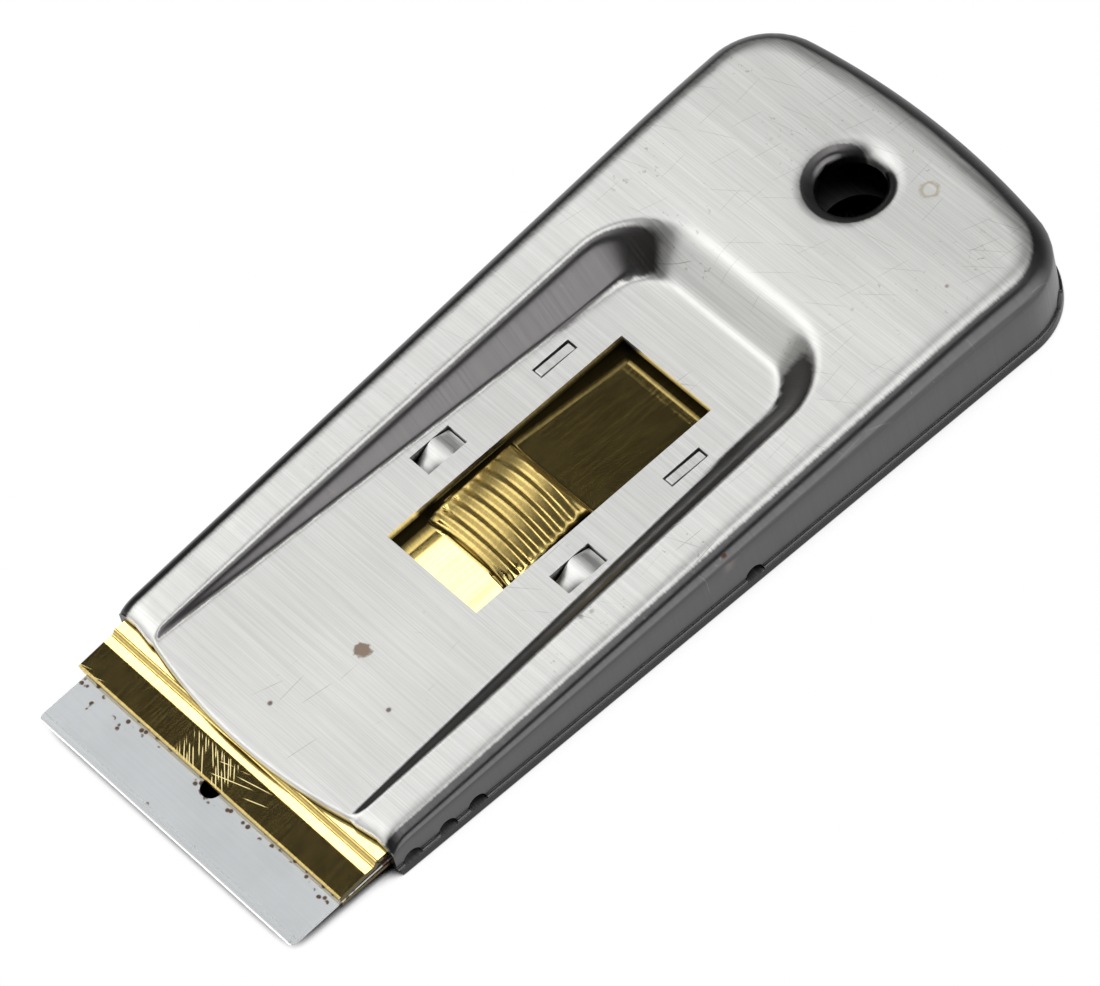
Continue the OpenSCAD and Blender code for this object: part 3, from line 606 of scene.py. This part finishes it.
def button_z(x, y, s):
    """Button: an arch across x that grows to the rear, with rib waves along y that fade at the sides,
    cut by flanks on all four sides."""
    arch_half, end_drop, round_end, round_side = 5.7, 0.25, 0.35, 0.45
    side_slope, front_slope, rear_slope, front_in = 2.4, 3.0, 2.2, 0.55
    p = (y - BUTTON_Y) / s["rib_pitch"]
    ribs = s["rib_depth"] * (0.5 - 0.5 * np.cos(2 * math.pi * p))
    inside = smooth(s["ribs"] / 2 + 0.05, s["ribs"] / 2 - 0.35, np.abs(p))
    fade = smooth(6.1, 5.0, np.abs(x))
    share = p / (s["ribs"] - 1)
    crown = (LEAF_Z + s["side_h"] + s["side_rise"] * share
             + (s["arch_h"] + s["arch_rise"] * share) * (1 - (x / arch_half) ** 2))
    top = crown - ribs * fade * inside - end_drop * (1 - inside)
    flank = LEAF_Z + side_slope * (BUTTON_HALF - np.abs(x))
    front = LEAF_Z + front_slope * (y - BUTTON_FRONT - front_in)
    rear = LEAF_Z + rear_slope * (BUTTON_REAR - y)
    return soft_min(soft_min(soft_min(top, front, round_end), rear, round_end), flank, round_side)


def slide_parts(s):
    """The slide's two sheets: the top one, which is its profile with lowered shoulders before the button
    and the button on it, and the jaw's lower leaf."""
    gx = both_ways(lines([0, 6.6, SHANK_HALF, JAW_HALF], [0.22, 0.5, 1.6]))
    gy = lines([LIP_Y, STEP_Y - 1.8, STEP_Y + 2, JAW_REAR_Y, BUTTON_FRONT - 1, BUTTON_REAR + 1, BEND_Y - 1,
                BEND_Y + 1, TAIL_Y - 0.8, TAIL_Y],
               [0.5, 0.09, 0.8, 1.0, 0.11, 0.8, 0.07, 0.2, 0.4])
    x, y = np.meshgrid(gx, gy, indexing="ij")
    behind_jaw = smooth(JAW_REAR_Y + 0.5, JAW_REAR_Y + 2.5, y)
    before = behind_jaw * smooth(BUTTON_FRONT + 3.0, BUTTON_FRONT + 1.0, y)
    low = slide_profile(y) - s["shoulder"] * smooth(2.6, 6.4, np.abs(x)) * before
    button = button_z(x, y, s)
    outer = np.stack([x, y, soft_max(low, button, 0.45)], -1)
    ease = soft_max(low, button - 0.25, 0.9)
    n = np.stack([-np.gradient(ease, gx, axis=0), -np.gradient(ease, gy, axis=1), np.ones_like(ease)], -1)
    faces = grid_faces(numbers(outer))
    mid = stack(outer)[faces].mean(1)
    keep = (mid[:, 1] < JAW_REAR_Y) | (np.abs(mid[:, 0]) < SHANK_HALF)
    return [thicken(stack(outer), stack(outer - unit(n) * s["sheet"]), faces[keep]), jaw_leaf()]


def jaw_leaf():
    """Lower leaf of the jaw with its rear wall: a flat strip, a quarter bend and a short rise."""
    bend_r, thickness, rows = 0.35, 0.38, 12
    turn = np.linspace(0.2, 1, 6) * math.pi / 2
    y = np.concatenate([np.linspace(LIP_Y + 0.2, JAW_REAR_Y - bend_r, rows),
                        JAW_REAR_Y - bend_r + bend_r * np.sin(turn), [JAW_REAR_Y, JAW_REAR_Y]])
    z = np.concatenate([np.full(rows, FOOT_Z), FOOT_Z + bend_r * (1 - np.cos(turn)), [2.0, LEAF_Z - 0.3]])
    along = unit(np.stack([np.gradient(y), np.gradient(z)], -1))
    x = np.linspace(-JAW_HALF, JAW_HALF, 25)[:, None]
    outer = np.stack(np.broadcast_arrays(x, y[None, :], z[None, :]), -1)
    shift = np.stack(np.broadcast_arrays(0 * x, -along[None, :, 1], along[None, :, 0]), -1)
    return thicken(stack(outer), stack(outer + thickness * shift), grid_faces(numbers(outer))[:, ::-1])


# Finishes


def put(tree, kind, settings=None, **sockets):
    """Adds a shader node; sockets are given by name (underscores for spaces) or by i and a number, as a
    value or as another node's output."""
    node = tree.nodes.new("ShaderNode" + kind)
    for name, value in (settings or {}).items():
        setattr(node, name, value)
    for name, value in sockets.items():
        numbered = name[0] == "i" and name[1:].isdigit()
        socket = node.inputs[int(name[1:]) if numbered else name.replace("_", " ")]
        if isinstance(value, bpy.types.NodeSocket):
            tree.links.new(value, socket)
        else:
            socket.default_value = value
    return node


def empty_tree(owner):
    """The emptied node tree of a material or a world."""
    owner.use_nodes = True
    owner.node_tree.nodes.clear()
    return owner.node_tree


def new_finish(name, metallic=1.0):
    """An empty metal with its object coordinates, its shader and its output."""
    material = bpy.data.materials.new(name)
    tree = empty_tree(material)
    coords = put(tree, "TexCoord").outputs["Object"]
    shader = put(tree, "BsdfPrincipled", Metallic=metallic)
    put(tree, "OutputMaterial", Surface=shader.outputs["BSDF"])
    return material, tree, coords, shader


def close_finish(tree, shader, base, rough, height, strength, distance):
    """Links a metal's colour, roughness and fine relief to its shader."""
    bump = put(tree, "Bump", Strength=strength, Distance=distance, Height=height)
    for name, value in (("Base Color", base), ("Roughness", rough), ("Normal", bump.outputs[0])):
        tree.links.new(value, shader.inputs[name])


def noise(tree, coords, scale, detail=3.0, rough=0.5):
    """Noise stretched by a scale for each axis, in repeats per metre."""
    place = put(tree, "Mapping", Vector=coords, Scale=scale)
    return put(tree, "TexNoise", Vector=place.outputs[0], Scale=1.0, Detail=detail,
               Roughness=rough).outputs["Fac"]


def ramp(tree, value, low, high, to_low=0.0, to_high=1.0):
    """Smooth step of a value between two limits."""
    return put(tree, "MapRange", {"interpolation_type": "SMOOTHSTEP"}, Value=value, From_Min=low,
               From_Max=high, To_Min=to_low, To_Max=to_high).outputs[0]


def vary(tree, value, low, high):
    """A noise stretched from its usual range to low and high."""
    return ramp(tree, value, 0.3, 0.7, low, high)


def maths(kind, tree, *values):
    """One arithmetic step."""
    return put(tree, "Math", {"operation": kind},
               **{f"i{n}": value for n, value in enumerate(values)}).outputs[0]


plus, minus, times, larger, size_of, whole, part = (functools.partial(maths, kind) for kind in (
    "ADD", "SUBTRACT", "MULTIPLY", "MAXIMUM", "ABSOLUTE", "FLOOR", "FRACT"))


def split(tree, vector):
    """The x, y and z of a vector."""
    return put(tree, "SeparateXYZ", Vector=vector).outputs


def facing(tree):
    """The x, y and z of the surface's normal."""
    return split(tree, put(tree, "NewGeometry").outputs["Normal"])


def mark_of(tree, name):
    """A mark kept on the mesh."""
    return put(tree, "Attribute", {"attribute_name": name}).outputs["Fac"]


def shaded(tree, base, shade):
    """A colour made lighter or darker by a factor."""
    return put(tree, "VectorMath", {"operation": "SCALE"}, i0=base, Scale=shade).outputs[0]


def blend(tree, share, a, b):
    """Colour mix of a and b by a share."""
    a, b = (v if isinstance(v, bpy.types.NodeSocket) else (*v, 1.0) for v in (a, b))
    return put(tree, "Mix", {"data_type": "RGBA"}, i0=share, i6=a, i7=b).outputs[2]


def spot(tree, coords, place, radius, ragged):
    """1 inside a ragged round spot at a place in millimetres, 0 outside."""
    middle = tuple(v * MM for v in place)
    near = put(tree, "VectorMath", {"operation": "DISTANCE"}, i0=coords, i1=middle)
    wave = noise(tree, coords, (1500, 1500, 1500), 4, 0.65)
    radius *= MM
    edge = maths("MULTIPLY_ADD", tree, wave, radius * ragged * 2, radius * (1 - ragged))
    depth = minus(tree, edge, near.outputs["Value"])
    return ramp(tree, depth, -radius * 0.25, radius * 0.25)


def scratches(tree, coords, turn, along, across, width, share, seed):
    """Straight scratches: cells of along by across millimetres on a turned grid, each row pushed by a
    random step; a share of the cells holds one line of random height and slant that thins out towards
    its ends."""
    place = put(tree, "Mapping", {"vector_type": "TEXTURE"}, Vector=coords, Rotation=(0, 0, turn),
                Location=(seed * MM, seed * 0.7 * MM, 0), Scale=(along * MM, across * MM, 1))
    u, v, _ = split(tree, place.outputs[0])
    row = whole(tree, v)
    push = put(tree, "TexWhiteNoise", {"noise_dimensions": "1D"}, W=plus(tree, row, seed))
    u = plus(tree, u, push.outputs["Value"])
    cell = put(tree, "CombineXYZ", X=whole(tree, u), Y=row, Z=seed)
    chance = put(tree, "TexWhiteNoise", {"noise_dimensions": "3D"}, Vector=cell.outputs[0])
    a, b, c = split(tree, chance.outputs["Color"])
    from_mid = minus(tree, part(tree, u), 0.5)
    slant = times(tree, from_mid, ramp(tree, b, 0.0, 1.0, -0.5, 0.5))
    height = minus(tree, part(tree, v), ramp(tree, a, 0.0, 1.0, 0.3, 0.7))
    gap = size_of(tree, plus(tree, height, slant))
    line = ramp(tree, gap, width / across, 0.3 * width / across)
    ends = ramp(tree, size_of(tree, from_mid), 0.48, 0.25)
    return times(tree, times(tree, line, ends), maths("LESS_THAN", tree, c, share))


def steel_finish(name, finish, bright, shade_colour, sunk=None):
    """Steel with grain across the width, scratches, pits and rust specks: bright where the shell's marks say,
    or else where it faces up or down, and painted dark as shade elsewhere. The shell also has
    a brown stain on its panel and a ring beside its hang hole."""
    material, tree, coords, shader = new_finish(name)
    fine = noise(tree, coords, (70, 6500, 70), rough=0.65)
    streak = noise(tree, coords, (28, 1500, 28), rough=0.6)
    cloud = noise(tree, coords, (60, 60, 60))
    # Painted shade: faces outside the bright share take a dark colour for the shade and dark reflections on
    # them; on the shell the marks pick it and choose between the recess's colour and the outer walls'.
    if sunk:
        shade_colour = blend(tree, mark_of(tree, "sunk"), shade_colour, sunk)
        feather = ramp(tree, noise(tree, coords, (420, 5200, 420)), 0.2, 0.8, -0.09, 0.09)
        top = ramp(tree, plus(tree, mark_of(tree, "brushed"), feather), 0.2, 0.8)
    else:
        # Painted shade: on the plate the faces that look up or down keep the bright colour and the sides are
        # painted near black.
        top = ramp(tree, size_of(tree, facing(tree)["Z"]), 0.6, 0.9)
    shade = times(tree, vary(tree, streak, 0.95, 1.03), vary(tree, cloud, 0.96, 1.03))
    shade = times(tree, shade, vary(tree, fine, 0.88, 1.07))
    shade = maths("MULTIPLY_ADD", tree, top, minus(tree, shade, 1.0), 1.0)
    base = shaded(tree, blend(tree, top, shade_colour, bright), shade)
    cells = put(tree, "TexVoronoi", Vector=coords, Scale=420.0).outputs["Distance"]
    wear = noise(tree, coords, (95, 95, 95))
    specks = times(tree, ramp(tree, cells, 0.16, 0.06), ramp(tree, wear, 0.60, 0.68))
    base = blend(tree, times(tree, specks, 0.75), base, finish.rust)
    worn = larger(tree, *(
        scratches(tree, coords, turn, along, across, width=0.06, share=0.3, seed=seed)
        for turn, along, across, seed in ((0.45, 5.5, 2.6, 3.1), (1.45, 4.4, 2.2, 5.3))))
    height = split(tree, coords)["Z"]
    rubbed = larger(tree, ramp(tree, wear, 0.55, 0.66), ramp(tree, height, 0.006, 0.008, 0.0, 0.6))
    pits = ramp(tree, noise(tree, coords, (1300, 1300, 1300), 4, 0.7), 0.62, 0.68)
    pitted = times(tree, ramp(tree, wear, 0.50, 0.58), ramp(tree, height, 0.0055, 0.0065))
    worn = larger(tree, times(tree, worn, rubbed), times(tree, pits, pitted))
    base = blend(tree, times(tree, worn, 0.5), base, finish.worn)
    if sunk:
        brown = spot(tree, coords, (1.36, WINDOW_Y - 26.24, PANEL_Z), 0.88, 0.95)
        base = blend(tree, times(tree, brown, 0.85), base, finish.stain)
        place = (6.8, HOLE_Y + 4.5, PANEL_Z + REAR_RISE)
        ring = minus(tree, *(spot(tree, coords, place, radius, 0.5) for radius in (1.0, 0.72)))
        base = blend(tree, times(tree, ring, 0.75), base, finish.ring)
        shader.inputs["Anisotropic"].default_value = 0.8
        along = put(tree, "Tangent", {"direction_type": "UV_MAP", "uv_map": "grain"})
        tree.links.new(along.outputs[0], shader.inputs["Tangent"])
    rough = plus(tree, ramp(tree, top, 0.0, 1.0, 0.30, 0.34), vary(tree, fine, 0.0, 0.08))
    rough = plus(tree, rough, times(tree, specks, 0.3))
    close_finish(tree, shader, base, rough, times(tree, plus(tree, fine, streak), top),
                 strength=0.1, distance=0.03 * MM)
    return material


def brass_finish(name, finish):
    """Bright brass with fine slide marks along y, a duller button and lip edge, short scratches on the lip
    and painted shade: faces that look sideways along x are darkened."""
    material, tree, coords, shader = new_finish(name, 0.97)
    rub = noise(tree, coords, (4200, 40, 4200), rough=0.6)
    cloud = noise(tree, coords, (240, 240, 240))
    tone = times(tree, vary(tree, rub, 0.82, 1.06), ramp(tree, cloud, 0.3, 0.75, 1.03, 0.90))
    base = shaded(tree, tuple(finish.brass), tone)
    bundle = scratches(tree, coords, turn=-0.74, along=4.2, across=0.32, width=0.07, share=0.75, seed=2.3)
    sweep = scratches(tree, coords, turn=0.28, along=6.0, across=0.7, width=0.06, share=0.5, seed=4.9)
    x, y, z = split(tree, coords)
    middle = ramp(tree, size_of(tree, plus(tree, x, 0.0015)), 0.0042, 0.0026)
    beside = plus(tree, ramp(tree, size_of(tree, minus(tree, x, 0.003)), 0.004, 0.003),
                  ramp(tree, x, -0.0145, -0.0165, 0.0, 0.6))
    marks = larger(tree, times(tree, bundle, middle), times(tree, sweep, beside))
    marks = times(tree, marks, ramp(tree, y, (STEP_Y - 1.3) * MM, (STEP_Y - 1.8) * MM))
    base = blend(tree, marks, base, finish.rubbed)
    # Painted shade: faces that look sideways along x are darkened to a small share of the brass colour.
    base = shaded(tree, base, ramp(tree, size_of(tree, facing(tree)["X"]), 0.55, 0.9, 1.0, 0.12))
    rough = plus(tree, vary(tree, rub, 0.08, 0.11), times(tree, marks, 0.35))
    rough = plus(tree, rough, ramp(tree, z, 0.0033, 0.0037, 0.0, 0.23))
    rough = plus(tree, rough, ramp(tree, y, (LIP_Y + 0.3) * MM, (LIP_Y + 0.15) * MM, 0.0, 0.26))
    close_finish(tree, shader, base, rough, times(tree, marks, 4.0), strength=0.03, distance=0.02 * MM)
    return material


def blade_finish(name, finish, plain):
    """Matt blade steel with a smoother ground bevel, a painted highlight along its edge, faint rolling lines
    and small rust spots that gather at the lip."""
    material, tree, coords, shader = new_finish(name)
    rolled = noise(tree, coords, (35, 2600, 35), rough=0.6)
    cloud = noise(tree, coords, (130, 130, 130))
    tone = times(tree, vary(tree, rolled, 0.95, 1.03), vary(tree, cloud, 0.96, 1.03))
    base = shaded(tree, tuple(plain), tone)
    cells = put(tree, "TexVoronoi", Vector=coords, Scale=1300.0).outputs["Distance"]
    patch = noise(tree, coords, (330, 330, 330))
    y = split(tree, coords)["Y"]
    at_lip = ramp(tree, y, (LIP_Y - 1.9) * MM, LIP_Y * MM, 0.0, 0.2)
    spots = times(tree, ramp(tree, cells, 0.42, 0.25), ramp(tree, plus(tree, patch, at_lip), 0.63, 0.68))
    base = blend(tree, times(tree, spots, 0.9), base, finish.rust)
    ground = ramp(tree, y, (EDGE_Y + 0.95) * MM, (EDGE_Y + 0.85) * MM)
    base = blend(tree, ground, base, finish.ground)
    # Painted highlight: a near-white line along the cutting edge.
    base = blend(tree, ramp(tree, y, (EDGE_Y + 0.2) * MM, (EDGE_Y + 0.12) * MM), base, finish.edge)
    rough = plus(tree, vary(tree, rolled, 0.36, 0.46), times(tree, spots, 0.3))
    rough = minus(tree, rough, times(tree, ground, 0.15))
    close_finish(tree, shader, base, rough, rolled, strength=0.08, distance=0.02 * MM)
    return material


def dress_node(name, material):
    """Gives a CAD node its finish."""
    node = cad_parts[name]
    node.data.materials.clear()
    node.data.materials.append(material)


# Stage


def floor_disc():
    """Flat disc: rings of points at the disc's radius times the square of the ring's share, closed at the
    middle by a small face."""
    share = FLOOR_R * np.linspace(0.02, 1, RINGS)[:, None] ** 2
    turn = np.linspace(0, 2 * math.pi, SPOKES, endpoint=False)[None, :]
    points = np.stack([share * np.cos(turn), share * np.sin(turn),
                       np.broadcast_to(FLOOR_Z, (RINGS, SPOKES))], -1)
    ids = numbers(points)
    faces = grid_faces(np.concatenate([ids, ids[:, :1]], 1))
    return points.reshape(-1, 3).tolist(), faces.tolist() + [ids[0].tolist()]


def floor_finish(colour_value):
    """Pale floor: lit by the lamps, and shown white to the camera and in the metal where nothing stands
    over it. From below it is clear."""
    material = bpy.data.materials.new("pale_floor")
    tree = empty_tree(material)
    plain = put(tree, "BsdfDiffuse", Color=(*colour_value, 1.0))
    open_sky = put(tree, "AmbientOcclusion", {"samples": 16}, Distance=0.025)
    path = put(tree, "LightPath").outputs
    seen = larger(tree, path["Is Camera Ray"], path["Is Glossy Ray"])
    seen = larger(tree, seen, path["Is Transmission Ray"])
    glow = put(tree, "Emission", Color=(1.0, 1.0, 1.0, 1.0),
               Strength=ramp(tree, open_sky.outputs["AO"], 0.26, 0.58))
    top = put(tree, "MixShader", i0=seen, i1=plain.outputs[0], i2=glow.outputs[0])
    back = put(tree, "NewGeometry").outputs["Backfacing"]
    clear = put(tree, "BsdfTransparent")
    both = put(tree, "MixShader", i0=back, i1=top.outputs[0], i2=clear.outputs[0])
    put(tree, "OutputMaterial", Surface=both.outputs[0])
    return material


def area_lamp(name, towards, size, strength, across):
    """Area lamp of a given brightness: faces the object from a direction, its width along a given vector."""
    towards = Vector(towards).normalized()
    x_axis = (Vector(across) - towards * Vector(across).dot(towards)).normalized()
    data = bpy.data.lights.new(name, "AREA")
    data.shape, data.size, data.size_y = "RECTANGLE", *size
    data.energy = strength * math.pi * size[0] * size[1]
    turn = Matrix((x_axis, towards.cross(x_axis), towards)).transposed().to_4x4()
    add_object(name, data).matrix_world = Matrix.Translation(towards * LAMP_DISTANCE) @ turn


def studio_world():
    """Dim studio, a little paler round the horizon."""
    world = bpy.data.worlds.new("studio")
    bpy.context.scene.world = world
    tree = empty_tree(world)
    up = split(tree, put(tree, "TexCoord").outputs["Generated"])["Z"]
    shade = ramp(tree, up, 0.05, 0.4, 0.16, 0.022)
    sky = put(tree, "Background", Color=(1.0, 1.0, 1.0, 1.0), Strength=shade)
    put(tree, "OutputWorld", Surface=sky.outputs[0])


def photo_camera(s):
    """Camera on a sphere round the panel, turned by azimuth, elevation and roll."""
    a, e, r = s.azimuth, s.elevation, s.roll
    back = Vector((math.sin(a) * math.cos(e), -math.cos(a) * math.cos(e), math.sin(e)))
    right = Vector((0, 0, 1)).cross(back).normalized()
    up = back.cross(right)
    right, up = right * math.cos(r) + up * math.sin(r), up * math.cos(r) - right * math.sin(r)
    data = bpy.data.cameras.new("camera")
    data.lens, data.sensor_width, data.sensor_fit = s.lens, 36.0, "HORIZONTAL"
    data.clip_start, data.clip_end = 0.01, 20.0
    camera = add_object("camera", data)
    turn = Matrix((right, up, back)).transposed().to_4x4()
    camera.matrix_world = Matrix.Translation(AIM + back * s.distance) @ turn
    bpy.context.scene.camera = camera


# Operators, one for each piece or group and one for the stage


def in_mm(group):
    """A property group's lengths in millimetres by name, its other values as they are."""
    props = group.bl_rna.properties
    return {p.identifier: getattr(group, p.identifier) / (MM if p.unit == "LENGTH" else 1)
            for p in props if p.type in {"FLOAT", "INT"} and not p.is_array}


class SCRAPER_OT_shell(bpy.types.Operator):
    """Builds the drawn steel shell"""

    bl_idname = "scraper.shell"
    bl_label = "Shell"

    def execute(self, context):
        finish, settings = context.scene.scraper_finish, context.scene.scraper_shell
        steel = steel_finish("shell_steel_painted_shade", finish, finish.brushed, finish.drawn, finish.sunk)
        parts, marks = shell_parts(in_mm(settings))
        make_piece("pressed_shell", parts, steel, "handle", "shell", settings.bevel, marks)
        return {"FINISHED"}


class SCRAPER_OT_slide(bpy.types.Operator):
    """Builds the brass slide with its ribbed button"""

    bl_idname = "scraper.slide"
    bl_label = "Slide"

    def execute(self, context):
        settings = context.scene.scraper_slide
        brass = brass_finish("bright_brass_side_shade", context.scene.scraper_finish)
        parts = slide_parts(in_mm(settings))
        make_piece("brass_slide", parts, brass, "slide", "carrier", settings.bevel)
        return {"FINISHED"}


class SCRAPER_OT_blade(bpy.types.Operator):
    """Finishes the blade and its spine"""

    bl_idname = "scraper.blade"
    bl_label = "Blade"

    def execute(self, context):
        finish = context.scene.scraper_finish
        dress_node("blade", blade_finish("ground_blade_steel_edge_highlight", finish, finish.blade))
        dress_node("blade_spine", blade_finish("spine_steel", finish, finish.plate))
        return {"FINISHED"}


class SCRAPER_OT_plate(bpy.types.Operator):
    """Finishes the back plate"""

    bl_idname = "scraper.plate"
    bl_label = "Back plate"

    def execute(self, context):
        finish = context.scene.scraper_finish
        steel = steel_finish("rolled_plate_steel_side_shade", finish, finish.plate, finish.plate_side)
        dress_node("back_plate", steel)
        return {"FINISHED"}


class SCRAPER_OT_stage(bpy.types.Operator):
    """Sets up the floor, the light and the camera"""

    bl_idname = "scraper.stage"
    bl_label = "Stage"

    def execute(self, context):
        scene = context.scene
        points, faces = floor_disc()
        mesh = bpy.data.meshes.new("floor")
        mesh.from_pydata(points, [], faces)
        mesh.materials.append(floor_finish(scene.scraper_stage.floor))
        floor = add_object("floor", mesh)
        for name, lamp in LAMPS.items():
            area_lamp(name, *lamp)
        studio_world()
        photo_camera(scene.scraper_stage)
        scene.view_settings.view_transform = "Standard"
        return {"FINISHED"}


class SCRAPER_PT_panel(bpy.types.Panel):
    """Lists the scraper's pieces"""

    bl_idname = "SCRAPER_PT_panel"
    bl_label = "Scraper"
    bl_space_type = "VIEW_3D"
    bl_region_type = "UI"
    bl_category = "Scraper"

    def draw(self, context):
        for operator in OPERATORS:
            self.layout.operator(operator.bl_idname)


OPERATORS = (SCRAPER_OT_shell, SCRAPER_OT_slide, SCRAPER_OT_blade, SCRAPER_OT_plate, SCRAPER_OT_stage)
GROUPS = {"scraper_shell": ScraperShell, "scraper_slide": ScraperSlide, "scraper_finish": ScraperFinish,
          "scraper_stage": ScraperStage}


def register():
    """Registers the classes and puts their settings on the scene."""
    for cls in (*GROUPS.values(), *OPERATORS, SCRAPER_PT_panel):
        bpy.utils.register_class(cls)
    for name, cls in GROUPS.items():
        setattr(bpy.types.Scene, name, bpy.props.PointerProperty(type=cls))


def unregister():
    """Takes the settings and the classes away again."""
    for name in GROUPS:
        delattr(bpy.types.Scene, name)
    for cls in (SCRAPER_PT_panel, *reversed(OPERATORS), *reversed(list(GROUPS.values()))):
        bpy.utils.unregister_class(cls)


def main():
    """Builds every piece in order."""
    register()
    bpy.ops.scraper.shell()
    bpy.ops.scraper.slide()
    bpy.ops.scraper.blade()
    bpy.ops.scraper.plate()
    bpy.ops.scraper.stage()


if __name__ == "__main__":
    main()
